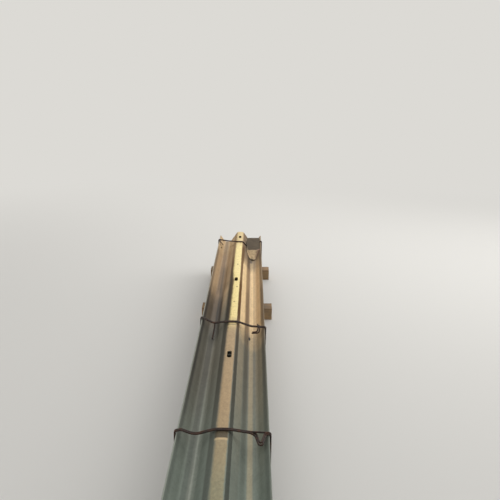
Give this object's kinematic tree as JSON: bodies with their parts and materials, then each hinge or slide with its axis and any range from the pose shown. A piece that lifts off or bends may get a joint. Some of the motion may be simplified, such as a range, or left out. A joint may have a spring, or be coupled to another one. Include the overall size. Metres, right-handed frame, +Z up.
{
  "type": "wire-tied bundle of highway guardrail sections",
  "caption": "Nested two-wave steel guardrail sections with post and splice slots, tied with doubled wire and lying on timber bearers, with a blank tag at the far tie.",
  "frame": {"origin": "middle of the footprint, on the underside of the bearers", "axes": "+Y along the rails towards the far end with the tag, +X to the right seen from the near end, +Z up"},
  "size_m": [0.44, 4.344, 0.3379],
  "materials": {
    "galvanised_steel": "weathered zinc",
    "bearer_timber": "rough sawn",
    "rusty_wire": "rusty",
    "tag_fibre": "dull"
  },
  "bodies": {
    "root": {"rail_01": "galvanised_steel", "rail_02": "galvanised_steel", "rail_03": "galvanised_steel", "rail_04": "galvanised_steel", "rail_05": "galvanised_steel", "rail_06": "galvanised_steel", "rail_07": "galvanised_steel", "rail_08": "galvanised_steel", "rail_09": "galvanised_steel", "rail_10": "galvanised_steel", "rail_11": "galvanised_steel", "rail_12": "galvanised_steel", "rail_13": "galvanised_steel", "rail_14": "galvanised_steel", "rail_15": "galvanised_steel", "rail_16": "galvanised_steel", "rail_17": "galvanised_steel", "rail_18": "galvanised_steel", "rail_19": "galvanised_steel", "rail_20": "galvanised_steel", "rail_21": "galvanised_steel", "rail_22": "galvanised_steel", "rail_23": "galvanised_steel", "rail_24": "galvanised_steel", "bearer_near_end": "bearer_timber", "bearer_near": "bearer_timber", "bearer_far": "bearer_timber", "bearer_far_end": "bearer_timber", "tie_far": "rusty_wire", "tie_mid_far": "rusty_wire", "tie_mid_near": "rusty_wire", "tie_near": "rusty_wire", "tag_card": "tag_fibre"}
  },
  "joints": []
}
